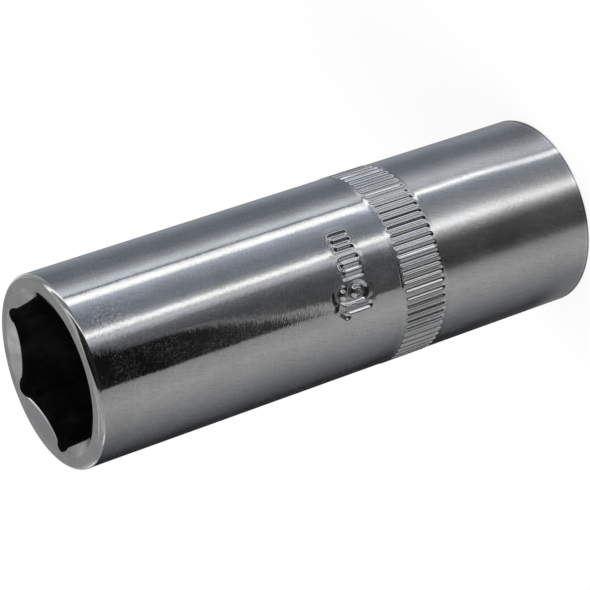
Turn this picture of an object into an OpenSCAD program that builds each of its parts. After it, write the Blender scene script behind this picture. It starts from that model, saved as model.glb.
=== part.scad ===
// Deep spark plug socket. A chromed steel tube has a hex mouth at the top, a square drive
// hole at the bottom and a band of grip flutes, and a rubber insert inside holds the plug.
// Millimetres. It stands on its drive end, with the origin in the middle of that face.

/* [Body] */
// Outside diameter of the socket
body_d = 22; // [21.2:0.1:26]
// Length from the drive face to the mouth
body_l = 65; // [58:0.5:100]
// Rounding of the mouth's outer edge
mouth_round = 0.6; // [0.2:0.05:0.9]
// Rounding of the drive end's outer edge
drive_round = 0.45; // [0.2:0.05:1.5]

/* [Hex mouth] */
// Distance across the flats of the hex
hex_af = 16.1; // [15:0.1:16.5]
// Depth of the hex from the mouth
hex_depth = 22; // [12:0.5:26]
// Radius of the round relief in each corner of the hex
relief_r = 1.4; // [1.2:0.05:1.6]
// Distance of a relief's centre inside the sharp corner
relief_inset = 1.35; // [1.2:0.05:1.5]
// Width of the lead-in's rim beyond the corner reliefs
lead_rim = 0.15; // [0.1:0.05:0.5]
// Angle between the lead-in cone and the socket's axis
lead_angle = 62; // [40:1:66]

/* [Bore] */
// How much wider the bore is than the flats of the hex, on the radius
bore_relief = 0.25; // [0.1:0.05:0.6]
// Width of the ledge that carries the rubber insert
ledge_w = 1.3; // [0.8:0.1:1.8]
// Depth of the groove that holds the insert's collar
groove_depth = 0.5; // [0.2:0.05:0.9]

/* [Square drive] */
// Width of the square hole, for a three-eighths inch drive
square_w = 9.6; // [9.5:0.02:9.8]
// Diameter across the rounded corners of the square hole
square_across = 13; // [12.4:0.1:13.4]
// Length of the square hole
drive_depth = 13; // [11:0.5:17]
// Width of the square lead-in's rim beyond the corners
square_rim = 0.3; // [0.1:0.05:1]
// Angle between the square's lead-in cone and the socket's axis
square_lead_angle = 45; // [35:1:60]
// Height of the detent groove above the drive face
detent_z = 5.2; // [4.8:0.1:7]
// Depth of the detent groove in the flats of the square
detent_depth = 0.9; // [0.4:0.05:1.4]
// Radius of the detent groove's section
detent_r = 2; // [1.6:0.1:2.4]

/* [Grip band] */
// Height of the band's lower edge above the drive face
band_z = 20.7; // [10:0.1:40]
// Width of the band along the socket
band_w = 5.2; // [2:0.1:12]
// How far the crests of the band stand proud of the body
band_proud = 0.06; // [0.02:0.01:0.2]
// Number of flutes around the band
flute_count = 70; // [36:1:76]
// Turn of the first flute round the socket from +X
flute_turn = 3.5; // [0:0.1:5]
// Width of a flute between the crests
flute_w = 0.72; // [0.4:0.02:0.76]
// Depth of a flute below the body's surface
flute_depth = 0.16; // [0.08:0.01:0.3]
// How far a flute runs past each end of the raised crests
flute_run = 0.1; // [0.05:0.05:0.5]

/* [Rubber insert] */
// Length of the insert
insert_l = 18; // [12:0.5:22]
// Diameter of the hole that grips the plug
grip_d = 10; // [8:0.1:11.5]
// Diameter of the flared entry at the insert's top
flare_d = 13; // [12:0.1:15]
// Length of the flared entry
flare_l = 2.5; // [1:0.1:4]
// Bevel at the lower end of the grip hole
grip_bevel = 0.5; // [0.2:0.1:1]
// Width of the collar that seats in the bore's groove
collar_w = 3; // [2:0.1:6]
// Gap between the insert and the steel, on the radius
insert_gap = 0.05; // [0.02:0.01:0.15]
// Gap between the insert's top and the end of the hex
insert_end_gap = 0.3; // [0.1:0.05:1]

/* [Hidden] */
$fn = 96;
steel = [0.66, 0.67, 0.69];
rubber = [0.05, 0.05, 0.055];

// Length by which a cutter runs past the face or space that it opens into
overrun = 1;
body_r = body_d / 2;
crest_r = body_r + band_proud;

hex_corner_r = hex_af / 2 / cos(30);
relief_at = hex_corner_r - relief_inset;
mouth_r = relief_at + relief_r + lead_rim;
hex_end_z = body_l - hex_depth;

bore_r = hex_af / 2 + bore_relief;
groove_r = bore_r + groove_depth;
clear_r = bore_r - ledge_w;
ledge_z = hex_end_z - insert_end_gap - insert_l;
groove_z = ledge_z + insert_l / 2;

square_mouth_r = square_across / 2 + square_rim;
detent_at = square_w / 2 + detent_depth - detent_r;

// The flute cutter is a round bar outside the body that reaches in to the flute's depth
flute_cut = flute_depth + band_proud;
flute_r = (pow(flute_w / 2, 2) + pow(flute_cut, 2)) / (2 * flute_cut);
flute_at = body_r - flute_depth + flute_r;

insert_r = bore_r - insert_gap;
collar_r = groove_r - insert_gap;

// What is left outside a rounded corner at [r, z], towards +r and towards +z times side
module corner_waste(r, z, round, side) {
    translate([r - round, z - side * round])
        scale([1, side])
            difference() {
                square(round + overrun);
                circle(round);
            }
}

// Half section of the outside, with the raised ring that the flutes are cut in
module outer_section() {
    difference() {
        square([body_r, body_l]);
        corner_waste(body_r, body_l, mouth_round, 1);
        corner_waste(body_r, 0, drive_round, -1);
    }
    translate([body_r - overrun, band_z])
        square([overrun + band_proud, band_w]);
}

// A round bar that cuts one flute
module flute_cutter() {
    translate([flute_at, 0, band_z - flute_run])
        cylinder(r = flute_r, h = band_w + 2 * flute_run);
}

// Hex with a round relief in each corner and its flats facing +X and -X
module hex_section() {
    rotate(30)
        circle(r = hex_corner_r, $fn = 6);
    for (i = [0:5])
        rotate(30 + 60 * i)
            translate([relief_at, 0])
                circle(relief_r);
}

// Square with its corners rounded to a circle
module square_section() {
    intersection() {
        square(square_w, center = true);
        circle(d = square_across);
    }
}

// Cone that is r wide at z = 0, narrows downwards to end_r and runs past z = 0
module lead_in(r, end_r, angle) {
    depth = (r - end_r) / tan(angle);
    translate([0, 0, -depth])
        cylinder(h = depth + overrun, r1 = end_r, r2 = r + overrun * tan(angle));
}

// The round hollow between the square and the hex, with the insert's ledge and groove
module bore_hollow() {
    link_r = square_w / 2 - bore_relief;
    groove_low = groove_z - collar_w / 2 - insert_gap;
    groove_high = groove_z + collar_w / 2 + insert_gap;
    rotate_extrude()
        polygon([
            [0, drive_depth - overrun],
            [link_r, drive_depth - overrun],
            [link_r, drive_depth],
            [clear_r, drive_depth],
            [clear_r, ledge_z],
            [bore_r, ledge_z],
            [bore_r, groove_low],
            [groove_r, groove_low],
            [groove_r, groove_high],
            [bore_r, groove_high],
            [bore_r, hex_end_z],
            [clear_r, hex_end_z],
            [clear_r, hex_end_z + overrun],
            [0, hex_end_z + overrun],
        ]);
}

module hex_hollow() {
    translate([0, 0, hex_end_z])
        linear_extrude(hex_depth + overrun)
            hex_section();
    translate([0, 0, body_l])
        lead_in(mouth_r, clear_r, lead_angle);
}

module drive_hollow() {
    translate([0, 0, -overrun])
        linear_extrude(drive_depth + overrun)
            square_section();
    mirror([0, 0, 1])
        lead_in(square_mouth_r, square_w / 2 - bore_relief, square_lead_angle);
    rotate_extrude()
        translate([detent_at, detent_z])
            circle(detent_r);
}

module socket_body() {
    color(steel)
        difference() {
            rotate_extrude()
                outer_section();
            for (i = [0:flute_count - 1])
                rotate(flute_turn + 360 / flute_count * i)
                    flute_cutter();
            hex_hollow();
            bore_hollow();
            drive_hollow();
        }
}

module rubber_insert() {
    collar_low = insert_l / 2 - collar_w / 2;
    collar_high = insert_l / 2 + collar_w / 2;
    grip_r = grip_d / 2;
    color(rubber)
        translate([0, 0, ledge_z])
            rotate_extrude()
                polygon([
                    [grip_r + grip_bevel, 0],
                    [insert_r, 0],
                    [insert_r, collar_low],
                    [collar_r, collar_low],
                    [collar_r, collar_high],
                    [insert_r, collar_high],
                    [insert_r, insert_l],
                    [flare_d / 2, insert_l],
                    [grip_r, insert_l - flare_l],
                    [grip_r, grip_bevel],
                ]);
}

socket_body();
rubber_insert();
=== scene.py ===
import math

import bmesh
import bpy
import numpy as np
from mathutils import Matrix, Vector

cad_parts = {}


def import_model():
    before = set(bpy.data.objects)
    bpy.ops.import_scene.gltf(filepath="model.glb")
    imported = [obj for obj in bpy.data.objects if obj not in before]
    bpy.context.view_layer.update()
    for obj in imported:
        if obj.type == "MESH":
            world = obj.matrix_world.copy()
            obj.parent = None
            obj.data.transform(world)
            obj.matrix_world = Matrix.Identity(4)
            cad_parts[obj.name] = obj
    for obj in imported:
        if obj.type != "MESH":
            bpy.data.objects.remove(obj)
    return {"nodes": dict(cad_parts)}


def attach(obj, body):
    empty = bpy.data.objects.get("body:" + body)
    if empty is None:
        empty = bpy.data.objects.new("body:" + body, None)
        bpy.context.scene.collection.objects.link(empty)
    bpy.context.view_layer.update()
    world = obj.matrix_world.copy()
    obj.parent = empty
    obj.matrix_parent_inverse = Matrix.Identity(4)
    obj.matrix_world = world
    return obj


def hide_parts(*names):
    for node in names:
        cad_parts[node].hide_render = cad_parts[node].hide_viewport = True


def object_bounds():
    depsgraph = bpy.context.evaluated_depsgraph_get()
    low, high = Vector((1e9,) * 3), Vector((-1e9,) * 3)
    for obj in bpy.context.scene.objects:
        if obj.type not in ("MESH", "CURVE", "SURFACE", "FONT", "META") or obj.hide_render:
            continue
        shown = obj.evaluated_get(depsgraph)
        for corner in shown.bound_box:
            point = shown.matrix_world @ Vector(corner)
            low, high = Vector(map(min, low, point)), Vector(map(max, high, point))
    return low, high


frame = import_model()
cad_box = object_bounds()

# Lengths here are millimetres and become metres in the meshes, materials, camera and lights
MM = 0.001

# The socket's outside, in the sizes of the CAD model, with its length from the frame
BODY_R = 11.0
BODY_L = cad_box[1][2] / MM
DRIVE_ROUND = 0.45
# The mouth's outer edge is a wide arc between two tight bends: angles of each, and radius
MOUTH_EDGE = [(0, 8, 0.15), (8, 60, 0.8), (60, 90, 0.2)]

# The hex mouth
HEX_AF = 16.1
HEX_DEPTH = 22.0
HEX_END_Z = BODY_L - HEX_DEPTH
RELIEF_R = 1.4
RELIEF_INSET = 1.35
RELIEF_AT = HEX_AF / 2 / math.cos(math.pi / 6) - RELIEF_INSET
LEAD_RIM = 0.15
MOUTH_R = RELIEF_AT + RELIEF_R + LEAD_RIM
LEAD_ANGLE = math.radians(62)
# The worn edge of the hex, down its walls and out along the lead-in cone
SCALLOP_DOWN = 0.05
SCALLOP_OUT = 0.18
# The share of that wear in each corner, out to this angle from its middle, and the angle over which
# it then grows to all of it
CORNER_WEAR = 0.25
CORNER_HALF = math.radians(8)
CORNER_FADE = math.radians(4)

# The bore behind the hex, with the ledge and the groove that hold the insert and its collar
BORE_RELIEF = 0.25
BORE_R = HEX_AF / 2 + BORE_RELIEF
LEDGE_W = 1.3
CLEAR_R = BORE_R - LEDGE_W
INSERT_L = 18.0
INSERT_END_GAP = 0.3
LEDGE_Z = HEX_END_Z - INSERT_END_GAP - INSERT_L
GROOVE_DEPTH = 0.5
GROOVE_R = BORE_R + GROOVE_DEPTH
GROOVE_W = 3.1
GROOVE_LOW = LEDGE_Z + (INSERT_L - GROOVE_W) / 2
GROOVE_HIGH = LEDGE_Z + (INSERT_L + GROOVE_W) / 2

# The square drive
SQUARE_W = 9.6
SQUARE_ACROSS = 13.0
SQUARE_RIM = 0.3
SQUARE_MOUTH_R = SQUARE_ACROSS / 2 + SQUARE_RIM
SQUARE_LEAD_ANGLE = math.radians(45)
DRIVE_DEPTH = 13.0
DETENT_Z = 5.2
DETENT_R = 2.0
DETENT_DEPTH = 0.9
DETENT_AT = SQUARE_W / 2 + DETENT_DEPTH - DETENT_R
# How far its edges are broken
EDGE_BREAK = 0.09

# The grip band
BAND_LOW = 20.7
BAND_W = 5.2
BAND_HIGH = BAND_LOW + BAND_W
BAND_PROUD = 0.056
BAND_RISE = 0.55
FLUTE_COUNT = 70
FLUTE_TURN = math.radians(3.5)
FLUTE_DEPTH = 0.16
FLUTE_HALF = 0.40
FLUTE_PAST = 0.1
FLUTE_RUNOUT = 0.4
# Powers that shape a flute's section at its bottom and at its shoulders
FLUTE_BOTTOM = 2.6
FLUTE_SHOULDER = 1.4

# The stamped size mark: a baseline, and the angle round the socket where it starts to read
MARK_BASE = 30.8
MARK_START = math.radians(239.3)
MARK_LENGTH = 9.9
MARK_HEIGHT = 4.1
MARK_MARGIN = 1.5
FIGURE_HALF = 0.40
LETTER_HALF = 0.34
WALL_SLOPE = 0.62
# Powers that shape a stroke's section at its bottom and at its shoulders
STROKE_BOTTOM = 1.4
STROKE_SHOULDER = 1.2
# The metal that the stamp pushed up stands round each stroke, steep inside and flat outside
FIGURE_LIP = 0.054
LETTER_LIP = 0.02
LIP_AT = 0.06
LIP_INSIDE = 0.12
LIP_OUTSIDE = 0.7
# The figure 1: its left side, its stem's place and top, and the tip of its flag
ONE_LEFT = 0.25
ONE_STEM = 0.72
ONE_TOP = 3.55
ONE_FLAG = (0.12, 2.93)
# The figure 6: its left side and half its width, and of its bowl and its arm the middle's height
# and half their own, with the angle where the arm ends
SIX_LEFT = 1.95
SIX_HALF = 0.84
SIX_BOWL = (1.1, 0.92)
SIX_ARM = (2.4, 1.1)
SIX_ARM_END = 27
# The two letters m: their left sides, the step from leg to leg, and the heights of shoulder and foot
M_LEFTS = (4.62, 7.62)
M_PITCH = 0.93
M_SHOULDER = 1.8
M_FOOT = 0.1
# Lines between the two figures that their common lip goes round as well
FIGURE_LINKS = [[(0.97, 3.5), (2.25, 3.15)], [(0.97, 2.0), (1.95, 2.0)]]

# Columns and rows of the body's mesh, spare room beside the band, a support beside each bend, and
# the angles from which edges are sharp
INNER_COLUMNS = 480
FLUTE_COLUMNS = 12
BAND_END_ROWS = 16
BAND_MIDDLE_ROWS = 5
DETENT_ROWS = 11
SCALLOP_STEPS = 4
PLAIN_STEP = math.radians(1.5)
MARK_STEP = math.radians(0.4)
MARK_ROW = 0.08
STROKE_POINTS = 40
ARCH_POINTS = 16
ARC_STEPS = 8
BAND_SPARE = 0.1
SUPPORT = 0.03
SHARP_ANGLE = math.radians(25)
SHARP_CHROME = math.radians(60)

# Material slots of the body's mesh
CHROME = 0
INSIDE = 1
RIM = 2

# The camera, as the photograph was taken
CAMERA_AT = (-19.30, -269.28, 177.77)
CAMERA_AIM = (-0.52, 0.05, 33.69)
CAMERA_ROLL = math.radians(108.79)
CAMERA_LENS = 166.2
CAMERA_SENSOR = 36.0
CAMERA_CLIP = (10.0, 50000.0)
CAMERA_SIDE = math.atan2(CAMERA_AT[1], CAMERA_AT[0])


def metres(lengths):
    """The same lengths in metres."""
    return [length * MM for length in lengths]


def ease(value):
    """A step from 0 to 1 with soft ends."""
    t = np.clip(value, 0.0, 1.0)
    return t * t * (3 - 2 * t)


def hex_radius(angles):
    """Distance from the axis to the hex with its round corner reliefs, at each angle."""
    sector = math.pi / 3
    from_flat = (angles + sector / 2) % sector - sector / 2
    flat = HEX_AF / 2 / np.cos(from_flat)
    from_corner = angles % sector - sector / 2
    inside = RELIEF_R**2 - (RELIEF_AT * np.sin(from_corner)) ** 2
    relief = RELIEF_AT * np.cos(from_corner) + np.sqrt(np.maximum(inside, 0))
    return np.maximum(flat, np.where(inside > 0, relief, 0))


def square_radius(angles):
    """Distance from the axis to the square with its rounded corners, at each angle."""
    side = SQUARE_W / 2 / np.maximum(np.abs(np.cos(angles)), np.abs(np.sin(angles)))
    return np.minimum(side, SQUARE_ACROSS / 2)


def arc_points(centre, radius, start, end):
    """Points of an arc in its plane, from start to end in degrees."""
    turns = np.radians(np.linspace(start, end, ARC_STEPS + 1))
    return [(centre[0] + radius * math.cos(t), centre[1] + radius * math.sin(t)) for t in turns]


def ellipse_stroke(centre, half, start, end, count=STROKE_POINTS):
    """Points of an elliptical stroke from start to end in degrees."""
    turns = np.radians(np.linspace(start, end, count))
    return [(centre[0] + half[0] * math.cos(t), centre[1] + half[1] * math.sin(t)) for t in turns]


def one_strokes(left):
    """The figure 1: a stem and a flag."""
    stem = left + ONE_STEM
    flag_x, flag_y = ONE_FLAG
    return [[(stem, 0.0), (stem, ONE_TOP)], [(stem, ONE_TOP), (left + flag_x, flag_y)]]


def six_strokes(left):
    """The figure 6: a round bowl, and an arm that rises over it from its left side."""
    middle = left + SIX_HALF
    bowl_y, bowl_half = SIX_BOWL
    arm_y, arm_half = SIX_ARM
    bowl = ellipse_stroke((middle, bowl_y), (SIX_HALF, bowl_half), 0, 360)
    arm = ellipse_stroke((middle, arm_y), (SIX_HALF, arm_half), 180, SIX_ARM_END)
    return [bowl, [(left, bowl_y)] + arm]


def m_strokes(left):
    """The letter m: a stem and two arches."""
    half = M_PITCH / 2
    strokes = [[(left, M_FOOT), (left, M_SHOULDER + half)]]
    for side in range(2):
        middle = left + M_PITCH * (side + 0.5)
        arch = ellipse_stroke((middle, M_SHOULDER), (half, half), 180, 0, ARCH_POINTS)
        strokes.append(arch + [(middle + half, M_FOOT)])
    return strokes


def mark_strokes():
    """Groups of the size mark's strokes along and above its baseline, with half their width,
    the height of their lip, and lines that the lip goes round as well."""
    figures = one_strokes(ONE_LEFT) + six_strokes(SIX_LEFT)
    letters = [stroke for left in M_LEFTS for stroke in m_strokes(left)]
    return [
        (figures, FIGURE_HALF, FIGURE_LIP, FIGURE_LINKS),
        (letters, LETTER_HALF, LETTER_LIP, []),
    ]


def distance_to_strokes(strokes, along, above):
    """Distance of each point from the nearest of the strokes' centre lines."""
    nearest = np.full(along.shape, BODY_L)
    for stroke in strokes:
        for (x0, y0), (x1, y1) in zip(stroke, stroke[1:]):
            dx, dy = x1 - x0, y1 - y0
            share = ((along - x0) * dx + (above - y0) * dy) / (dx * dx + dy * dy)
            share = np.clip(share, 0, 1)
            gap = np.hypot(along - x0 - share * dx, above - y0 - share * dy)
            nearest = np.minimum(nearest, gap)
    return nearest


def mark_relief(angles, height):
    """How far the stamped mark moves the surface along one ring, below or above the body."""
    along = (angles - MARK_START) * BODY_R
    above = np.full(angles.shape, height - MARK_BASE)
    groove = np.zeros(angles.shape)
    lip = np.zeros(angles.shape)
    for strokes, half, lip_height, links in mark_strokes():
        gap = distance_to_strokes(strokes, along, above)
        share = np.minimum(gap / half, 1)
        section = (1 - share**STROKE_BOTTOM) ** STROKE_SHOULDER
        groove = np.maximum(groove, WALL_SLOPE * half * section)
        outside = np.minimum(gap, distance_to_strokes(links, along, above) + LIP_AT) - half
        spread = np.where(outside < LIP_AT, LIP_INSIDE, LIP_OUTSIDE)
        lip = np.maximum(lip, lip_height * ease(1 - np.abs(outside - LIP_AT) / spread))
    return lip - groove


def band_relief(angles, height):
    """How far the grip band's crests and flutes move the surface along one ring."""
    pitch = 2 * math.pi / FLUTE_COUNT
    middle = (BAND_LOW + BAND_HIGH) / 2
    half = (BAND_HIGH - BAND_LOW) / 2
    across = (((angles - FLUTE_TURN) / pitch + 0.5) % 1 - 0.5) * pitch * BODY_R
    past = abs(height - middle) - half
    end = max(0.0, past - FLUTE_PAST + FLUTE_RUNOUT) / FLUTE_RUNOUT
    share = np.minimum(np.hypot(across / FLUTE_HALF, end), 1)
    flute = (1 - share**FLUTE_BOTTOM) ** FLUTE_SHOULDER
    crest = BAND_PROUD * float(ease(1 - past / BAND_RISE))
    return crest - (FLUTE_DEPTH + crest) * flute


def plain_columns():
    """Angles round the body, close together where the mark is."""
    low = MARK_START - MARK_MARGIN / BODY_R
    high = MARK_START + (MARK_LENGTH + MARK_MARGIN) / BODY_R
    before = np.arange(0, low, PLAIN_STEP)
    inside = np.arange(low, high, MARK_STEP)
    after = np.arange(high, 2 * math.pi - PLAIN_STEP / 2, PLAIN_STEP)
    return np.concatenate([before, inside, after])


def even_columns(count, through=0.0):
    """Even angles round the socket, one of them at the given angle."""
    step = 2 * math.pi / count
    return np.arange(count) * step + through % step


class Skin:
    """A closed surface of rings round the Z axis, each joined to the one before it."""

    def __init__(self):
        self.points = []
        self.faces = []
        self.slots = []
        self.first = None
        self.last = None

    def ring(self, angles, radius, height, slot):
        """Adds a ring, and joins it to the last one with faces of the given slot."""
        start = len(self.points)
        radius = np.broadcast_to(radius, angles.shape)
        height = np.broadcast_to(height, angles.shape)
        ring_points = np.stack([radius * np.cos(angles), radius * np.sin(angles), height], axis=1)
        self.points.extend((ring_points * MM).tolist())
        ring = (start, angles)
        if self.last is not None:
            self.join(self.last, ring, slot)
        if self.first is None:
            self.first = ring
        self.last = ring

    def close(self, slot):
        """Joins the last ring to the first."""
        self.join(self.last, self.first, slot)

    def join(self, low, high, slot):
        """Adds faces between two rings: four-sided where their columns agree, else three-sided."""
        (a, a_angles), (b, b_angles) = low, high
        a_count, b_count = len(a_angles), len(b_angles)
        before = len(self.faces)
        if a_count == b_count and np.array_equal(a_angles, b_angles):
            for i in range(a_count):
                j = (i + 1) % a_count
                self.faces.append((a + i, a + j, b + j, b + i))
        else:
            a_turn = np.append(a_angles, a_angles[0] + 2 * math.pi)
            b_turn = np.append(b_angles, b_angles[0] + 2 * math.pi)
            i = j = 0
            while i < a_count or j < b_count:
                if j == b_count or (i < a_count and a_turn[i + 1] <= b_turn[j + 1]):
                    self.faces.append((a + i, a + (i + 1) % a_count, b + j % b_count))
                    i += 1
                else:
                    self.faces.append((a + i % a_count, b + (j + 1) % b_count, b + j))
                    j += 1
        self.slots.extend([slot] * (len(self.faces) - before))

    def mesh(self, name):
        """The surface as a mesh, smooth apart from its sharp edges."""
        mesh = bpy.data.meshes.new(name)
        mesh.from_pydata(self.points, [], self.faces)
        mesh.polygons.foreach_set("material_index", self.slots)
        bm = bmesh.new()
        bm.from_mesh(mesh)
        bmesh.ops.recalc_face_normals(bm, faces=bm.faces)
        for face in bm.faces:
            face.smooth = True
        for edge in bm.edges:
            chromed = all(face.material_index == CHROME for face in edge.link_faces)
            edge.smooth = edge.calc_face_angle(0) < (SHARP_CHROME if chromed else SHARP_ANGLE)
        bm.to_mesh(mesh)
        bm.free()
        return mesh


def band_rows():
    """Heights of the band's rings from the top down, close together at its two ends."""
    end = FLUTE_RUNOUT + BAND_SPARE
    upper = np.linspace(BAND_HIGH + BAND_RISE, BAND_HIGH - end, BAND_END_ROWS)
    middle = np.linspace(BAND_HIGH - end, BAND_LOW + end, BAND_MIDDLE_ROWS)[1:-1]
    lower = np.linspace(BAND_LOW + end, BAND_LOW - BAND_RISE, BAND_END_ROWS)
    return np.concatenate([upper, middle, lower])


def mouth_edge():
    """Points of the mouth's outer edge, from its flat ring out and down to the body."""
    points = [(BODY_R, 0.0)]
    for start, end, radius in MOUTH_EDGE:
        r, z = points[-1]
        turn = math.radians(start)
        centre = (r - radius * math.cos(turn), z - radius * math.sin(turn))
        points += arc_points(centre, radius, start, end)[1:]
    top = points[-1][1]
    return [(r, BODY_L - top + z) for r, z in reversed(points)]


def add_outside(skin):
    """The mouth's flat rim, the body with its mark and band, and the drive end's rim."""
    plain = plain_columns()
    fluted = even_columns(FLUTE_COUNT * FLUTE_COLUMNS, FLUTE_TURN)
    band_gap = BAND_RISE + BAND_SPARE
    mark_top = MARK_BASE + MARK_HEIGHT + MARK_MARGIN
    mark_bottom = MARK_BASE - MARK_MARGIN
    edge = mouth_edge()
    skin.ring(plain, edge[0][0] - SUPPORT, BODY_L, RIM)
    for r, z in edge:
        skin.ring(plain, r, z, CHROME)
    skin.ring(plain, BODY_R, edge[-1][1] - SUPPORT, CHROME)
    for z in np.arange(mark_top, mark_bottom, -MARK_ROW):
        skin.ring(plain, BODY_R + mark_relief(plain, z), z, CHROME)
    skin.ring(plain, BODY_R, BAND_HIGH + 2 * band_gap, CHROME)
    skin.ring(fluted, BODY_R, BAND_HIGH + band_gap, CHROME)
    for z in band_rows():
        skin.ring(fluted, BODY_R + band_relief(fluted, z), z, CHROME)
    skin.ring(fluted, BODY_R, BAND_LOW - band_gap, CHROME)
    skin.ring(plain, BODY_R, BAND_LOW - 2 * band_gap, CHROME)
    skin.ring(plain, BODY_R, DRIVE_ROUND + SUPPORT, CHROME)
    for r, z in arc_points((BODY_R - DRIVE_ROUND, DRIVE_ROUND), DRIVE_ROUND, 0, -90):
        skin.ring(plain, r, z, CHROME)
    skin.ring(plain, BODY_R - DRIVE_ROUND - SUPPORT, 0, CHROME)


def add_square(skin, columns):
    """The drive end's lead-in and square hole with its detent groove."""
    square = square_radius(columns)
    lead_z = (SQUARE_MOUTH_R - square) / math.tan(SQUARE_LEAD_ANGLE)
    skin.ring(columns, SQUARE_MOUTH_R + EDGE_BREAK, 0, CHROME)
    skin.ring(columns, SQUARE_MOUTH_R - EDGE_BREAK, EDGE_BREAK, CHROME)
    skin.ring(columns, square + EDGE_BREAK, lead_z - EDGE_BREAK, CHROME)
    skin.ring(columns, square, lead_z + EDGE_BREAK, CHROME)
    lowest = lead_z + 2 * EDGE_BREAK
    for z in np.linspace(DETENT_Z - DETENT_R, DETENT_Z + DETENT_R, DETENT_ROWS):
        groove = DETENT_AT + math.sqrt(max(0.0, DETENT_R**2 - (z - DETENT_Z) ** 2))
        skin.ring(columns, np.maximum(square, groove), np.maximum(z, lowest), INSIDE)
    skin.ring(columns, square, DRIVE_DEPTH, INSIDE)


def add_bore(skin, columns):
    """The round hollow between the square and the hex."""
    skin.ring(columns, CLEAR_R, DRIVE_DEPTH, INSIDE)
    skin.ring(columns, CLEAR_R, LEDGE_Z, INSIDE)
    skin.ring(columns, BORE_R, LEDGE_Z, INSIDE)
    skin.ring(columns, BORE_R, GROOVE_LOW, INSIDE)
    skin.ring(columns, GROOVE_R, GROOVE_LOW, INSIDE)
    skin.ring(columns, GROOVE_R, GROOVE_HIGH, INSIDE)
    skin.ring(columns, BORE_R, GROOVE_HIGH, INSIDE)
    skin.ring(columns, BORE_R, HEX_END_Z, INSIDE)


def add_hex(skin, columns):
    """The hex walls, their ends that the lead-in cone cuts into scallops, and the worn edge there."""
    hexagon = hex_radius(columns)
    scallop = BODY_L - (MOUTH_R - hexagon) / math.tan(LEAD_ANGLE)
    from_corner = np.abs(columns % (math.pi / 3) - math.pi / 6)
    worn = CORNER_WEAR + (1 - CORNER_WEAR) * ease((from_corner - CORNER_HALF) / CORNER_FADE)
    down = SCALLOP_DOWN * worn
    out = SCALLOP_OUT * worn
    skin.ring(columns, hexagon, HEX_END_Z, INSIDE)
    skin.ring(columns, hexagon, scallop - down - SUPPORT, INSIDE)
    skin.ring(columns, hexagon, scallop - down, INSIDE)
    for share in np.linspace(0, 1, SCALLOP_STEPS + 1)[1:]:
        add_on_cone(skin, columns, hexagon, scallop - down * (1 - share) ** 2, out * share**2)
    add_on_cone(skin, columns, hexagon, scallop, out + SUPPORT)


def add_on_cone(skin, columns, radius, height, further):
    """A ring of the mouth's rim that lies this much further out along the lead-in cone."""
    out = further * math.sin(LEAD_ANGLE)
    up = further * math.cos(LEAD_ANGLE)
    skin.ring(columns, radius + out, height + up, RIM)


def socket_body():
    """The steel body as one closed surface, in place of the CAD node."""
    inner = even_columns(INNER_COLUMNS)
    skin = Skin()
    skin.ring(inner, MOUTH_R, BODY_L, CHROME)
    add_outside(skin)
    add_square(skin, inner)
    add_bore(skin, inner)
    add_hex(skin, inner)
    skin.close(RIM)
    body = bpy.data.objects.new("socket_body_chromed", skin.mesh("socket_body_chromed"))
    bpy.context.scene.collection.objects.link(body)
    body.data.materials.append(chrome_material())
    body.data.materials.append(inside_material())
    body.data.materials.append(rim_material())
    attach(body, "root")
    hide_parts("socket_body")


class Nodes:
    """Adds nodes to a material or a world, and links what is given as a socket."""

    def __init__(self, owner):
        owner.use_nodes = True
        self.tree = owner.node_tree
        self.tree.nodes.clear()

    def add(self, kind, values=None, **settings):
        """A node with these settings, and with these values or links on its inputs."""
        node = self.tree.nodes.new(kind)
        for name, value in settings.items():
            setattr(node, name, value)
        for name, value in (values or {}).items():
            socket = node.inputs[name]
            if isinstance(value, bpy.types.NodeSocket):
                self.tree.links.new(value, socket)
            else:
                socket.default_value = value
        return node

    def math(self, operation, *values):
        """The result of an operation on numbers."""
        numbered = dict(enumerate(values))
        return self.add("ShaderNodeMath", numbered, operation=operation).outputs[0]

    def both(self, first, second):
        """The product of two shares, or of a value and a share."""
        return self.math("MULTIPLY", first, second)

    def measure(self, operation, *vectors):
        """The number that an operation on vectors gives."""
        numbered = dict(enumerate(vectors))
        return self.add("ShaderNodeVectorMath", numbered, operation=operation).outputs["Value"]

    def noise(self, vector, scale, detail, roughness):
        """Noise from 0 to 1, with this many waves per unit of the vector."""
        values = {"Vector": vector, "Scale": scale, "Detail": detail, "Roughness": roughness}
        return self.add("ShaderNodeTexNoise", values).outputs["Fac"]

    def range(self, value, from_low, from_high, to_low, to_high):
        """The value carried over from one range to another, with soft ends."""
        values = {0: value, 1: from_low, 2: from_high, 3: to_low, 4: to_high}
        return self.add("ShaderNodeMapRange", values, interpolation_type="SMOOTHSTEP").outputs[0]

    def grow(self, value, low, high, top=1.0):
        """0 where the value is below the low end, and the top where it is above the high end."""
        return self.range(value, low, high, 0.0, top)

    def fade(self, value, low, high):
        """1 where the value is below the low end, and 0 where it is above the high end."""
        return self.range(value, low, high, 1.0, 0.0)

    def blend(self, share, low, high, way="MIX"):
        """A colour between two, or the first changed by the second in another way."""
        values = {"Factor": share, 6: low, 7: high}
        return self.add("ShaderNodeMix", values, data_type="RGBA", blend_type=way).outputs[2]

    def bump(self, height, depth):
        """Normals that follow the height, of which 1 is this deep."""
        values = {"Height": height, "Strength": 1.0, "Distance": depth * MM}
        return self.add("ShaderNodeBump", values).outputs[0]

    def principled(self, values):
        """Ends a material with a principled shader."""
        shader = self.add("ShaderNodeBsdfPrincipled", values)
        self.add("ShaderNodeOutputMaterial", {"Surface": shader.outputs[0]})


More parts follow.
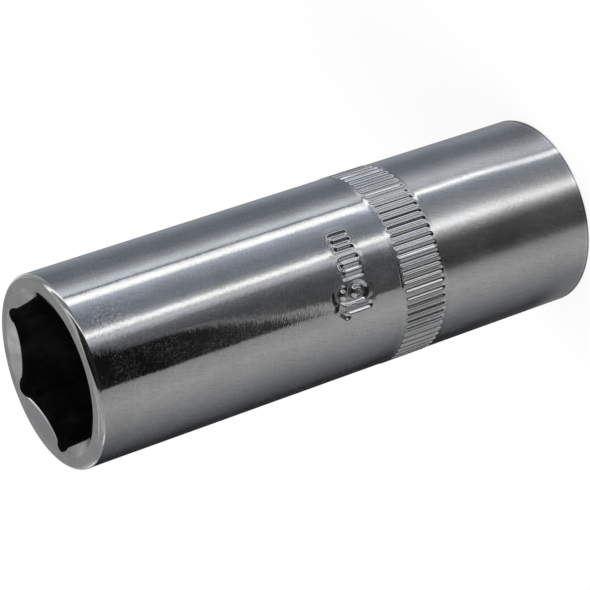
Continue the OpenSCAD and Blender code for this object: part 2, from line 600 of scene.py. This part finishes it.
def shown_ray(nodes):
    """1 for the rays that show a surface: those from the camera, a mirror or glass."""
    path = nodes.add("ShaderNodeLightPath")
    shown = nodes.math("MAXIMUM", path.outputs["Is Camera Ray"], path.outputs["Is Glossy Ray"])
    return nodes.math("MAXIMUM", shown, path.outputs["Is Transmission Ray"])


def position(nodes):
    """The position on an object, whole and as its separate axes."""
    place = nodes.add("ShaderNodeTexCoord").outputs["Object"]
    return place, nodes.add("ShaderNodeSeparateXYZ", {0: place}).outputs


def from_axis(nodes, place):
    """Distance from the Z axis."""
    level = nodes.add("ShaderNodeVectorMath", {0: place, 1: (1, 1, 0)}, operation="MULTIPLY")
    return nodes.measure("LENGTH", level.outputs[0])


def along_level(nodes, place, turn):
    """How far a place lies from the Z axis in the level direction of this turn."""
    return nodes.measure("DOT_PRODUCT", place, (math.cos(turn), math.sin(turn), 0.0))


def unrolled(nodes, axes):
    """The socket's outside rolled out flat, as a vector of the way round it and the height."""
    turn = nodes.math("ARCTAN2", axes["Y"], axes["X"])
    way = nodes.math("MULTIPLY", turn, BODY_R * MM)
    return nodes.add("ShaderNodeCombineXYZ", {"X": way, "Y": axes["Z"], "Z": 0.0}).outputs[0]


def from_patch(nodes, flat, turn, height):
    """Distance on the rolled-out surface from the middle of a patch."""
    return nodes.measure("DISTANCE", flat, (turn * BODY_R * MM, height * MM, 0.0))


def streaks(nodes, flat, waves, slant, detail, roughness):
    """Streaky noise on the rolled-out surface, with these waves per metre in its two directions
    after a turn by the slant."""
    values = {"Vector": flat, "Axis": (0, 0, 1), "Angle": slant}
    turned = nodes.add("ShaderNodeVectorRotate", values).outputs[0]
    stretched = nodes.add("ShaderNodeMapping", {"Vector": turned, "Scale": (*waves, 1.0)})
    return nodes.noise(stretched.outputs[0], 1.0, detail, roughness)


# The body's chrome: the plate, and what lies on it in places
CHROME_TINT = (0.68, 0.685, 0.69, 1)
CHROME_STAIN = (0.61, 0.62, 0.60, 1)
CHROME_SCRATCH = (0.53, 0.53, 0.51, 1)
CHROME_HAIR = (0.80, 0.81, 0.86, 1)
CHROME_SPECK = (0.78, 0.79, 0.83, 1)
CHROME_PIT = (0.34, 0.37, 0.42, 1)
# Its roughness, with what haze and the duller drive end add, and where that end starts
CHROME_ROUGH = 0.045
HAZE_ROUGH = 0.05
DULL_ROUGH = 0.07
DULL_END = (19.0, 24.0)
# The depth of its mottle, and that of the ripple and of the polishing hairs as a multiple of it
MOTTLE_DEPTH = 0.0046
RIPPLE_DEPTH = 3.0
HAIR_DEPTH = 0.7
# Waves of hairs and scratches per metre round and along the socket, and how far they are slanted
HAIR_WAVES = (1100.0, 6200.0)
HAIR_SLANT = 0.5
SCRATCH_WAVES = (4600.0, 420.0)
SCRATCH_SLANT = 0.35
# A rubbed patch beside the mark, where the hairs are deeper: the turn and height of its middle,
# and the distances from there between which it fades
RUBBED_TURN = math.radians(-106)
RUBBED_Z = 39.3
RUBBED_FADE = (2.0, 5.0)
RUBBED_DEPTH = 2.2
# The same for a patch near the mouth, where the plate is pitted
PITTED_TURN = math.radians(-76)
PITTED_Z = 61.5
PITTED_FADE = (0.6, 3.4)
# How much less metallic the specks and the chips are
SPECK_MATT = 0.08
CHIP_MATT = 0.3


def chrome_material():
    """Polished chrome plate with hair marks, haze, stains, a few pits and a duller drive end."""
    material = bpy.data.materials.new("polished_chrome")
    nodes = Nodes(material)
    place, axes = position(nodes)
    flat = unrolled(nodes, axes)

    # Polishing hairs run round the socket on a slant, over a faint orange peel
    hairs = streaks(nodes, flat, HAIR_WAVES, HAIR_SLANT, detail=2.0, roughness=0.6)
    mottle = nodes.noise(place, scale=1900.0, detail=4.0, roughness=0.6)
    ripple = nodes.noise(place, scale=320.0, detail=2.0, roughness=0.5)
    from_rubbed = from_patch(nodes, flat, RUBBED_TURN, RUBBED_Z)
    hair_depth = nodes.range(from_rubbed, *metres(RUBBED_FADE), RUBBED_DEPTH, HAIR_DEPTH)
    height = nodes.math("MULTIPLY_ADD", ripple, RIPPLE_DEPTH, mottle)
    height = nodes.math("MULTIPLY_ADD", hairs, hair_depth, height)

    haze = nodes.noise(place, scale=260.0, detail=5.0, roughness=0.6)
    rough = nodes.math("MULTIPLY_ADD", nodes.grow(haze, 0.42, 0.72), HAZE_ROUGH, CHROME_ROUGH)
    dull_end = nodes.fade(axes["Z"], *metres(DULL_END))
    rough = nodes.math("MULTIPLY_ADD", dull_end, DULL_ROUGH, rough)

    # Stains in patches, fine scratches that lie along the socket, and speckle
    stain = nodes.noise(place, scale=150.0, detail=4.0, roughness=0.6)
    scratch = streaks(nodes, flat, SCRATCH_WAVES, SCRATCH_SLANT, detail=3.0, roughness=0.65)
    speckle = nodes.noise(place, scale=7400.0, detail=2.0, roughness=0.6)
    tint = nodes.blend(nodes.grow(stain, 0.40, 0.70), CHROME_TINT, CHROME_STAIN)
    tint = nodes.blend(nodes.grow(scratch, 0.48, 0.70, 0.6), tint, CHROME_SCRATCH)
    tint = nodes.blend(nodes.grow(hairs, 0.50, 0.72, 0.4), tint, CHROME_HAIR)
    tint = nodes.blend(nodes.grow(speckle, 0.50, 0.75, 0.6), tint, CHROME_SPECK)

    # Pits and chips lie close together in the pitted patch
    pitted = nodes.fade(from_patch(nodes, flat, PITTED_TURN, PITTED_Z), *metres(PITTED_FADE))
    pitting = nodes.noise(place, scale=3400.0, detail=3.0, roughness=0.7)
    pits = nodes.both(pitted, nodes.grow(pitting, 0.50, 0.62, 0.7))
    chips = nodes.both(pitted, nodes.fade(pitting, 0.36, 0.44))
    tint = nodes.blend(pits, tint, CHROME_PIT)

    # Specks of dust and chips are matt, and show up pale on what the plate mirrors dark
    specks = nodes.both(nodes.grow(speckle, 0.50, 0.70), nodes.grow(haze, 0.36, 0.58))
    metal = nodes.math("MULTIPLY_ADD", specks, -SPECK_MATT, 1.0)
    metal = nodes.math("MULTIPLY_ADD", chips, -CHIP_MATT, metal)
    normal = nodes.bump(height, MOTTLE_DEPTH)
    nodes.principled({"Base Color": tint, "Metallic": metal, "Roughness": rough, "Normal": normal})
    return material


# The rim's chrome: its plate, its worn parts, its roughness, and the depth of the turned rings,
# with that of its clouds as a multiple of it
RIM_TINT = (0.66, 0.665, 0.67, 1)
RIM_WORN = (0.56, 0.55, 0.53, 1)
RIM_ROUGH = (0.2, 0.34)
RING_DEPTH = 0.002
CLOUD_DEPTH = 1.5
# A painted highlight, a pale matt line along the top edge of one flat of the hex: the flat, how far
# inside and outside it the line reaches, how high, how it fades along the flat and to what share, and
# how matt it is
LINE_FLAT = math.radians(120)
HIGHLIGHT_LINE_TINT = (0.80, 0.79, 0.77, 1)
LINE_INSIDE = (-0.3, -0.1)
LINE_OUTSIDE = (0.08, 0.2)
LINE_TOP = (64.85, 64.95)
LINE_ALONG = (-3.8, 1.8)
LINE_LEAST = 0.12
LINE_MATT = 0.75


def painted_edge_highlight(nodes, place, height):
    """The share of the painted highlight along the edge of one flat, most of all at one end."""
    past_flat = nodes.math("SUBTRACT", along_level(nodes, place, LINE_FLAT), HEX_AF / 2 * MM)
    along = along_level(nodes, place, LINE_FLAT + math.pi / 2)
    line = nodes.both(
        nodes.grow(past_flat, *metres(LINE_INSIDE)),
        nodes.fade(past_flat, *metres(LINE_OUTSIDE)),
    )
    line = nodes.both(line, nodes.fade(height, *metres(LINE_TOP)))
    return nodes.both(line, nodes.range(along, *metres(LINE_ALONG), 1.0, LINE_LEAST))


def rim_material():
    """Duller chrome over the turned ring and cone of the mouth, with rings, a little wear and a
    painted highlight.
    """
    material = bpy.data.materials.new("turned_rim_chrome")
    nodes = Nodes(material)
    place, axes = position(nodes)
    reach = from_axis(nodes, place)
    across = nodes.add("ShaderNodeCombineXYZ", {"X": reach, "Y": axes["Z"], "Z": 0.0}).outputs[0]
    rings = nodes.noise(across, scale=9000.0, detail=2.0, roughness=0.6)
    cloud = nodes.noise(place, scale=520.0, detail=5.0, roughness=0.65)
    normal = nodes.bump(nodes.math("MULTIPLY_ADD", cloud, CLOUD_DEPTH, rings), RING_DEPTH)
    rough = nodes.range(cloud, 0.3, 0.7, *RIM_ROUGH)
    # A pale matt line is painted along one hex edge as a highlight
    line = painted_edge_highlight(nodes, place, axes["Z"])
    tint = nodes.blend(nodes.grow(cloud, 0.4, 0.7), RIM_TINT, RIM_WORN)
    tint = nodes.blend(line, tint, HIGHLIGHT_LINE_TINT)
    metal = nodes.math("MULTIPLY_ADD", line, -LINE_MATT, 1.0)
    nodes.principled({"Base Color": tint, "Metallic": metal, "Roughness": rough, "Normal": normal})
    return material


# The steel inside: its two tints, how metallic and how rough it is, the waves per metre and the
# depth of the broach marks, and the depth of its scale as a multiple of that
# Both tints are dark steel made near black with painted shade of the hollow inside
INSIDE_DARK = (0.016, 0.016, 0.0165, 1)
INSIDE_LIGHT = (0.040, 0.040, 0.039, 1)
INSIDE_METAL = 0.8
INSIDE_ROUGH = (0.42, 0.6)
BROACH_WAVES = (3200.0, 60.0)
BROACH_DEPTH = 0.009
SCALE_DEPTH = 0.6


def inside_material():
    """Dark steel inside the hex, the bore and the square, partly its own colour and partly painted
    shade.
    """
    material = bpy.data.materials.new("inside_steel_with_painted_shade")
    nodes = Nodes(material)
    place, axes = position(nodes)
    scale = nodes.noise(place, scale=420.0, detail=5.0, roughness=0.65)
    broach = streaks(nodes, unrolled(nodes, axes), BROACH_WAVES, 0.0, detail=3.0, roughness=0.6)
    tint = nodes.blend(nodes.grow(scale, 0.35, 0.7), INSIDE_DARK, INSIDE_LIGHT)
    rough = nodes.range(scale, 0.3, 0.7, *INSIDE_ROUGH)
    normal = nodes.bump(nodes.math("MULTIPLY_ADD", scale, SCALE_DEPTH, broach), BROACH_DEPTH)
    values = {"Base Color": tint, "Metallic": INSIDE_METAL, "Roughness": rough, "Normal": normal}
    nodes.principled(values)
    return material


# The insert's rubber: its own tint and that of its bloom, its roughness and the depth of its grain
RUBBER_BLACK = (0.014, 0.014, 0.015, 1)
RUBBER_BLOOM = (0.04, 0.04, 0.042, 1)
RUBBER_ROUGH = (0.55, 0.78)
RUBBER_GRAIN = 0.025


def rubber_material():
    """Black moulded rubber with a faint bloom."""
    material = bpy.data.materials.new("black_rubber")
    nodes = Nodes(material)
    place, _ = position(nodes)
    bloom = nodes.noise(place, scale=380.0, detail=5.0, roughness=0.6)
    grain = nodes.noise(place, scale=5200.0, detail=2.0, roughness=0.5)
    tint = nodes.blend(nodes.grow(bloom, 0.35, 0.75), RUBBER_BLACK, RUBBER_BLOOM)
    rough = nodes.range(bloom, 0.3, 0.7, *RUBBER_ROUGH)
    normal = nodes.bump(grain, RUBBER_GRAIN)
    nodes.principled({"Base Color": tint, "Roughness": rough, "Normal": normal})
    return material


def dress_insert():
    """The CAD insert keeps its shape and gets its rubber."""
    insert = frame["nodes"]["rubber_insert"]
    insert.data.materials.clear()
    insert.data.materials.append(rubber_material())


# Tints of the cards round the socket
PLAIN = (1.0, 1.0, 1.0)
COOL = (0.94, 0.98, 1.05)
BLUE = (0.885, 0.955, 1.105)
# Their grey levels, by the angle from the camera's side in degrees. Each is seen in the chrome at
# half its angle.
CARDS = [
    (-180, 0.30, COOL),
    (-156, 0.34, BLUE),
    (-128, 0.20, BLUE),
    (-110, 0.21, BLUE),
    (-98, 0.36, COOL),
    (-87, 0.80, COOL),
    (-82, 0.74, COOL),
    (-80.5, 0.14, COOL),
    (-79.5, 0.14, COOL),
    (-78, 0.95, COOL),
    (-73, 1.55, PLAIN),
    (-70, 1.55, PLAIN),
    (-66, 0.66, BLUE),
    (-58, 0.40, BLUE),
    (-46, 0.26, BLUE),
    (-36, 0.27, BLUE),
    (-30.5, 0.50, PLAIN),
    (-26.5, 1.42, PLAIN),
    (-24, 1.36, PLAIN),
    (-20.7, 0.55, PLAIN),
    (-19.2, 0.73, COOL),
    (-11, 0.19, COOL),
    (-4, 0.12, COOL),
    (2, 0.09, COOL),
    (37, 0.07, PLAIN),
    (38, 0.29, PLAIN),
    (43, 0.34, PLAIN),
    (60, 0.41, PLAIN),
    (80, 0.33, PLAIN),
    (104, 0.21, COOL),
    (128, 0.10, COOL),
    (148, 0.03, COOL),
]
# The lightest level that the ramps can hold
CARD_TOP = 2.0
# The strips as they lie close to the socket, in place of those between the same angles
NEAR_STRIPS = [
    (-98, 0.34, COOL),
    (-84, 0.62, COOL),
    (-76, 0.62, COOL),
    (-72, 0.45, COOL),
    (-68.5, 1.05, COOL),
    (-66.5, 1.95, PLAIN),
    (-65, 1.80, PLAIN),
    (-61.5, 0.48, BLUE),
    (-55, 0.32, BLUE),
    (-46, 0.28, COOL),
    (-36, 0.35, COOL),
    (-28, 0.55, PLAIN),
    (-20, 1.15, PLAIN),
    (-16, 1.25, PLAIN),
    (-8, 0.43, PLAIN),
    (-2, 0.18, PLAIN),
    (4, 0.075, PLAIN),
    (26, 0.045, PLAIN),
    (34, 0.08, PLAIN),
    (40, 0.24, PLAIN),
    (46, 0.34, PLAIN),
    (60, 0.41, PLAIN),
]
# Between these distances from the axis the near strips give way to the cards further out
NEAR_REACH = (50.0, 58.0)
# A light strip lies right behind the socket, at these angles on both sides
BACK_SIDES = (math.radians(163), math.radians(172))
BACK_LEVEL = 0.75
# The cards far out and up the walls, with dark gaps in front and light strips behind
HIGH_CARDS = [
    (-180, 0.50, PLAIN),
    (-166, 0.30, COOL),
    (-156, 0.95, PLAIN),
    (-148, 0.95, PLAIN),
    (-140, 0.35, COOL),
    (-122, 0.50, COOL),
    (-98, 0.30, COOL),
    (-86, 0.45, COOL),
    (-78, 0.90, COOL),
    (-73, 1.50, PLAIN),
    (-69, 1.50, PLAIN),
    (-62, 0.36, COOL),
    (-50, 0.26, COOL),
    (-36, 0.22, COOL),
    (-30, 0.40, PLAIN),
    (-26, 1.30, PLAIN),
    (-23, 1.30, PLAIN),
    (-17, 0.20, PLAIN),
    (-10, 0.02, PLAIN),
    (36.5, 0.02, PLAIN),
    (38, 0.29, PLAIN),
    (60, 0.42, PLAIN),
    (84, 0.50, PLAIN),
    (92, 0.95, PLAIN),
    (100, 0.95, PLAIN),
    (108, 0.40, COOL),
    (130, 0.30, COOL),
    (140, 0.80, PLAIN),
    (150, 0.80, PLAIN),
    (160, 0.35, COOL),
]
# They start at this rise, which is the angle up to a card from the middle of the mouth
HIGH_RISE = (math.radians(-21), math.radians(-11))
# Higher than this, the walls beside and behind the socket have no light strips
CALM_RISE = (math.radians(-2), math.radians(6))
CALM_BEYOND = 85.0
CALM_LEVEL = 0.36
# Round the socket's foot all cards have this share of a middle grey, and none is lighter than this top
FOOT_REACH = (18.0, 34.0)
FOOT_SHARE = 0.07
FOOT_LEVEL = 0.35
FOOT_TOP = 1.3
# Closest to it, between these angles, the share of the middle grey grows
FOOT_SIDE = (96.0, 136.0)
FOOT_SIDE_REACH = (12.0, 17.0)
FOOT_SIDE_SHARE = 0.42
# At the foot the strips are drawn in towards the camera's side by this angle in degrees
DRAWN = 5.0
DRAWN_REACH = (12.0, 29.0)
DRAWN_SIDE = (-50.0, 0.0)
# What the drive end's round edge mirrors: a lighter ring on the floor, and a darker one inside it
LIGHT_RING = (11.65, 11.95)
LIGHT_GAIN = (1.25, 1.25, 1.25, 1)
DARK_RING = (11.3, 11.55)
DARK_GAIN = (0.55, 0.55, 0.55, 1)
# Further up the strips lean over, by this angle in degrees at the most
LEAN = 72.0
LEAN_RISE = (math.radians(-24), math.radians(80))
LEAN_SIDE = (-30.0, 10.0)
# A black card lies across the floor on the camera's side: where its edge runs on a slant, its two
# sides in degrees with how soft they are, and how light it is far out and near
FLAG_EDGE = (125.0, 129.0)
FLAG_SIDES = (1.0, 36.7)
FLAG_SOFT = (2.5, 0.8)
FLAG_LEVEL = 0.008
FLAG_NEAR = 0.032
FLAG_FADE = (90.0, 140.0)
# Far out it is wider by this angle in degrees, and past this far to the side its edge bends back
FLAG_FLARE = 10.0
FLAG_FLARE_REACH = (142.0, 162.0)
FLAG_BEND = 0.9
FLAG_BEND_FROM = 28.0
# Its pale edge, which gets wider between these angles in degrees and lighter towards its tip
PALE_EDGE = (116.0, 123.0)
PALE_WIDER = 16.0
PALE_WIDER_SIDE = (12.0, 30.0)
PALE_LEVEL = 0.21
PALE_TIP = 0.37
PALE_TIP_SIDE = (19.0, 25.0)
# From this rise up the tent is black over the camera's side, and grey beyond these angles
OVER_RISE = (math.radians(32), math.radians(48))
OVER_SIDE = (-60.0, -30.0)
OVER_SOFT = 8.0
OVER_LEVEL = 0.55
# The tent's radius and height, how high its floor lies and how far that reaches in under the socket,
# the width of its slanted corners, a ring on its floor and the ring that closes its top
TENT_R = 430.0
TENT_H = 360.0
TENT_LOW = 0.05
TENT_UNDER = 0.8
TENT_CORNER = 30.0
TENT_FLOOR_R = 60.0
TENT_TOP_R = 1.0
TENT_COLUMNS = 96
# The ceiling's shades to the left and right, and lower down behind the socket
CEILING_SIDES = (-100.0, 200.0)
CEILING_RISE = (math.radians(32), math.radians(58))
CEILING_LEFT = (0.142, 0.147, 0.151, 1)
CEILING_RIGHT = (0.335, 0.332, 0.347, 1)
CEILING_LOW = (0.150, 0.150, 0.149, 1)
WALL_RISE = (math.radians(13), math.radians(21))
WALL_SHADE = (0.220, 0.220, 0.218, 1)
# It starts at this rise in radians. Further round from the camera's side, as seen from this far
# behind the axis, it starts lower: the turns between which it comes down, and by how much.
CEILING_START = (1.6, 1.75)
CEILING_FROM = 30.0
CEILING_LOWER = [((1.0, 1.9), 0.75), ((1.7, 2.5), 0.8)]


def with_strips(strips):
    """All the cards, with these strips in place of those between their angles."""
    first, last = strips[0][0], strips[-1][0]
    before = [card for card in CARDS if card[0] < first]
    after = [card for card in CARDS if card[0] > last]
    return before + strips + after


def without_strips(cards):
    """The same cards, with nothing light beside and behind the socket."""
    calm = []
    for angle, level, tint in cards:
        limit = CALM_LEVEL if abs(angle) > CALM_BEYOND else CARD_TOP
        calm.append((angle, min(level, limit), tint))
    return calm


def grey(level):
    """A level of the cards as a colour."""
    return (level / CARD_TOP,) * 3 + (1,)


def card_ramp(nodes, share, cards):
    """The cards as a colour ramp over one whole turn, which starts and ends behind the socket."""
    ramp = nodes.add("ShaderNodeValToRGB", {"Fac": share})
    elements = ramp.color_ramp.elements
    while len(elements) < len(cards):
        elements.new(1.0)
    for element, (angle, level, tint) in zip(elements, cards):
        element.position = angle / 360 + 0.5
        element.color = [level * part / CARD_TOP for part in tint] + [1]
    return ramp.outputs["Color"]


def card_angle(nodes, turn, reach):
    """Angle by which a card is looked up, in degrees. Near the socket the cards fan out, so that
    their edges look straight in the chrome."""
    doubled = nodes.math("MULTIPLY", reach, 2.0)
    fan = nodes.math("DIVIDE", doubled, nodes.math("SUBTRACT", doubled, BODY_R * MM))
    return nodes.math("MULTIPLY", nodes.math("MULTIPLY", turn, fan), 180 / math.pi)


def ramp_share(nodes, angle, reach, rise):
    """Place on a ramp of cards, with the strips' lean further up and their draw at the foot."""
    lean = nodes.both(nodes.grow(rise, *LEAN_RISE, LEAN), nodes.fade(angle, *LEAN_SIDE))
    drawn = nodes.both(
        nodes.range(reach, *metres(DRAWN_REACH), DRAWN, 0.0),
        nodes.fade(angle, *DRAWN_SIDE),
    )
    shifted = nodes.math("SUBTRACT", nodes.math("ADD", angle, lean), drawn)
    return nodes.math("MULTIPLY_ADD", shifted, 1 / 360, 0.5)


def low_cards(nodes, share, angle, reach, turn):
    """The cards on the floor, near and far, with the grey at the foot and the strip right behind."""
    far = card_ramp(nodes, share, CARDS)
    near = card_ramp(nodes, share, with_strips(NEAR_STRIPS))
    cards = nodes.blend(nodes.grow(reach, *metres(NEAR_REACH)), near, far)
    at_foot = nodes.fade(reach, *metres(FOOT_REACH))
    cards = nodes.blend(at_foot, cards, grey(FOOT_TOP), "DARKEN")
    cards = nodes.blend(nodes.both(at_foot, FOOT_SHARE), cards, grey(FOOT_LEVEL))
    foot_side = nodes.both(
        nodes.grow(angle, *FOOT_SIDE, FOOT_SIDE_SHARE),
        nodes.fade(reach, *metres(FOOT_SIDE_REACH)),
    )
    cards = nodes.blend(foot_side, cards, grey(FOOT_LEVEL))
    behind = nodes.grow(nodes.math("ABSOLUTE", turn), *BACK_SIDES)
    return nodes.blend(behind, cards, grey(BACK_LEVEL))


def high_cards(nodes, share, rise):
    """The cards far out and up the walls, calmer towards the top."""
    lively = card_ramp(nodes, share, HIGH_CARDS)
    calm = card_ramp(nodes, share, without_strips(HIGH_CARDS))
    return nodes.blend(nodes.grow(rise, *CALM_RISE), lively, calm)


def floor_flag(nodes, cards, angle, reach, ahead, side):
    """The cards with the black card on them, and its pale edge in front of it."""
    first, last = FLAG_SIDES
    first_soft, last_soft = FLAG_SOFT
    flare = nodes.grow(reach, *metres(FLAG_FLARE_REACH), FLAG_FLARE)
    flared = nodes.math("ADD", angle, flare)
    within = nodes.both(
        nodes.grow(flared, first - first_soft, first + first_soft),
        nodes.fade(angle, last, last + last_soft),
    )
    across = nodes.math("ADD", ahead, side)
    past_bend = nodes.math("MAXIMUM", nodes.math("SUBTRACT", side, FLAG_BEND_FROM * MM), 0.0)
    across = nodes.math("MULTIPLY_ADD", past_bend, FLAG_BEND, across)
    wider = nodes.grow(angle, *PALE_WIDER_SIDE, PALE_WIDER * MM)
    pale = nodes.grow(nodes.math("ADD", across, wider), *metres(PALE_EDGE))
    pale_shade = nodes.blend(nodes.grow(angle, *PALE_TIP_SIDE), grey(PALE_LEVEL), grey(PALE_TIP))
    cards = nodes.blend(nodes.both(pale, within), cards, pale_shade)
    flag = nodes.grow(across, *metres(FLAG_EDGE))
    shade = nodes.blend(nodes.grow(reach, *metres(FLAG_FADE)), grey(FLAG_NEAR), grey(FLAG_LEVEL))
    return nodes.blend(nodes.both(flag, within), cards, shade)


def over_camera(nodes, cards, angle, rise):
    """The cards with the dark part of the tent over the camera's side."""
    last = FLAG_SIDES[1]
    over = nodes.both(nodes.grow(rise, *OVER_RISE), nodes.fade(angle, last, last + OVER_SOFT))
    shade = nodes.blend(nodes.grow(angle, *OVER_SIDE), grey(OVER_LEVEL), grey(FLAG_LEVEL))
    return nodes.blend(over, cards, shade)


def under_ceiling(nodes, cards, ahead, side, rise):
    """The cards, and over them the ceiling, which comes down furthest away from the camera."""
    ceiling = nodes.blend(nodes.grow(side, *metres(CEILING_SIDES)), CEILING_LEFT, CEILING_RIGHT)
    low = nodes.blend(nodes.grow(rise, *WALL_RISE), WALL_SHADE, CEILING_LOW)
    ceiling = nodes.blend(nodes.grow(rise, *CEILING_RISE), low, ceiling)
    from_behind = nodes.math("ADD", ahead, CEILING_FROM * MM)
    away = nodes.math("ABSOLUTE", nodes.math("ARCTAN2", side, from_behind))
    for turns, lower in CEILING_LOWER:
        rise = nodes.math("ADD", rise, nodes.grow(away, *turns, lower))
    return nodes.blend(nodes.grow(rise, *CEILING_START), cards, ceiling)


def tent_material():
    """Graduated cards on the floor and walls round the socket, under a pale ceiling."""
    material = bpy.data.materials.new("tent_cards")
    nodes = Nodes(material)
    place, axes = position(nodes)
    ahead = axes["X"]
    side = nodes.math("MULTIPLY", axes["Y"], -1.0)
    turn = nodes.math("ARCTAN2", side, ahead)
    reach = from_axis(nodes, place)
    rise = nodes.math("ARCTAN2", nodes.math("SUBTRACT", axes["Z"], BODY_L * MM), reach)
    angle = card_angle(nodes, turn, reach)
    share = ramp_share(nodes, angle, reach, rise)
    cards = low_cards(nodes, share, angle, reach, turn)
    cards = floor_flag(nodes, cards, angle, reach, ahead, side)
    for ring, gain in ((LIGHT_RING, LIGHT_GAIN), (DARK_RING, DARK_GAIN)):
        cards = nodes.blend(nodes.fade(reach, *metres(ring)), cards, gain, "MULTIPLY")
    high = high_cards(nodes, share, rise)
    cards = nodes.blend(nodes.grow(rise, *HIGH_RISE), cards, high)
    cards = over_camera(nodes, cards, angle, rise)
    shade = under_ceiling(nodes, cards, ahead, side, rise)
    glow = nodes.add("ShaderNodeEmission", {"Color": shade, "Strength": CARD_TOP})
    nodes.add("ShaderNodeOutputMaterial", {"Surface": glow.outputs[0]})
    return material


def reflection_tent():
    """A round tent that only mirrors see. It stands on the floor round the socket."""
    profile = [
        (BODY_R - TENT_UNDER, TENT_LOW),
        (TENT_FLOOR_R, TENT_LOW),
        (TENT_R - TENT_CORNER, TENT_LOW),
        (TENT_R, TENT_LOW + TENT_CORNER),
        (TENT_R, TENT_H - TENT_CORNER),
        (TENT_R - TENT_CORNER, TENT_H),
        (TENT_TOP_R, TENT_H),
    ]
    bm = bmesh.new()
    columns = even_columns(TENT_COLUMNS)
    rings = []
    for r, z in profile:
        points = [(r * MM * math.cos(a), r * MM * math.sin(a), z * MM) for a in columns]
        rings.append([bm.verts.new(p) for p in points])
    for low, high in zip(rings, rings[1:]):
        for i in range(len(columns)):
            j = (i + 1) % len(columns)
            bm.faces.new((low[i], low[j], high[j], high[i]))
    mesh = bpy.data.meshes.new("reflection_tent")
    bm.to_mesh(mesh)
    bm.free()
    tent = bpy.data.objects.new("reflection_tent", mesh)
    tent.rotation_euler.z = CAMERA_SIDE
    mesh.materials.append(tent_material())
    tent.visible_camera = False
    tent.visible_diffuse = False
    tent.visible_shadow = False
    tent.visible_transmission = False
    bpy.context.scene.collection.objects.link(tent)


# The floor's half width and how far it lies below the socket, its paint, the share of plain white that
# the eye sees on it, and how far in under the socket that starts
FLOOR_HALF = 4000.0
FLOOR_BELOW = 0.02
FLOOR_PAINT = (0.95, 0.95, 0.95, 1)
FLOOR_WHITE = 0.86
FLOOR_UNDER = 1.0
WHITE = (1, 1, 1, 1)
WORLD_LIGHT = (0.6, 0.6, 0.6, 1)
# Name, place, width and power of each lamp
LAMPS = [
    ("key_lamp", (-400, -300, 650), 380, 3.0),
    ("fill_lamp", (420, 240, 600), 420, 2.0),
]


def floor_material():
    """White to the eye, with the socket's soft shadow on it, and plain paint inside the bore."""
    material = bpy.data.materials.new("white_floor")
    nodes = Nodes(material)
    place, _ = position(nodes)
    outside = metres((BODY_R - FLOOR_UNDER, BODY_R))
    open_share = nodes.grow(from_axis(nodes, place), *outside, FLOOR_WHITE)
    paint = nodes.add("ShaderNodeBsdfDiffuse", {"Color": FLOOR_PAINT})
    glow = nodes.add("ShaderNodeEmission", {"Color": WHITE, "Strength": 1.0})
    share = nodes.both(shown_ray(nodes), open_share)
    mixed = nodes.add("ShaderNodeMixShader", {0: share, 1: paint.outputs[0], 2: glow.outputs[0]})
    nodes.add("ShaderNodeOutputMaterial", {"Surface": mixed.outputs[0]})
    return material


def floor():
    """A wide plain floor under the socket."""
    half = FLOOR_HALF * MM
    below = -FLOOR_BELOW * MM
    mesh = bpy.data.meshes.new("floor")
    corners = [(-half, -half, below), (half, -half, below), (half, half, below), (-half, half, below)]
    mesh.from_pydata(corners, [], [(0, 1, 2, 3)])
    mesh.materials.append(floor_material())
    ground = bpy.data.objects.new("floor", mesh)
    bpy.context.scene.collection.objects.link(ground)


def world():
    """White where it shows, and a plain grey light on what it lights."""
    studio = bpy.data.worlds.new("studio")
    nodes = Nodes(studio)
    light = nodes.add("ShaderNodeBackground", {"Color": WORLD_LIGHT, "Strength": 1.0})
    white = nodes.add("ShaderNodeBackground", {"Color": WHITE, "Strength": 1.0})
    shaders = {0: shown_ray(nodes), 1: light.outputs[0], 2: white.outputs[0]}
    mixed = nodes.add("ShaderNodeMixShader", shaders)
    nodes.add("ShaderNodeOutputWorld", {"Surface": mixed.outputs[0]})
    bpy.context.scene.world = studio


def soft_lamp(name, place, size, power):
    """A square soft lamp that faces the socket."""
    light = bpy.data.lights.new(name, "AREA")
    light.size = size * MM
    light.energy = power
    lamp = bpy.data.objects.new(name, light)
    lamp.location = Vector(place) * MM
    towards = Vector((0, 0, BODY_L / 2 * MM)) - lamp.location
    lamp.rotation_euler = towards.to_track_quat("-Z", "Y").to_euler()
    lamp.visible_glossy = False
    bpy.context.scene.collection.objects.link(lamp)


def camera():
    """The photograph's camera, with the socket lying across the picture."""
    data = bpy.data.cameras.new("camera")
    data.lens = CAMERA_LENS
    data.sensor_width = CAMERA_SENSOR
    data.clip_start, data.clip_end = metres(CAMERA_CLIP)
    eye = bpy.data.objects.new("camera", data)
    at = Vector(CAMERA_AT) * MM
    look = Vector(CAMERA_AIM) * MM - at
    level = look.to_track_quat("-Z", "Y").to_matrix().to_4x4()
    roll = Matrix.Rotation(-CAMERA_ROLL, 4, "Z")
    eye.matrix_world = Matrix.Translation(at) @ level @ roll
    bpy.context.scene.collection.objects.link(eye)
    bpy.context.scene.camera = eye


bpy.context.scene.view_settings.view_transform = "Standard"
camera()
socket_body()
dress_insert()
floor()
reflection_tent()
world()
for lamp in LAMPS:
    soft_lamp(*lamp)
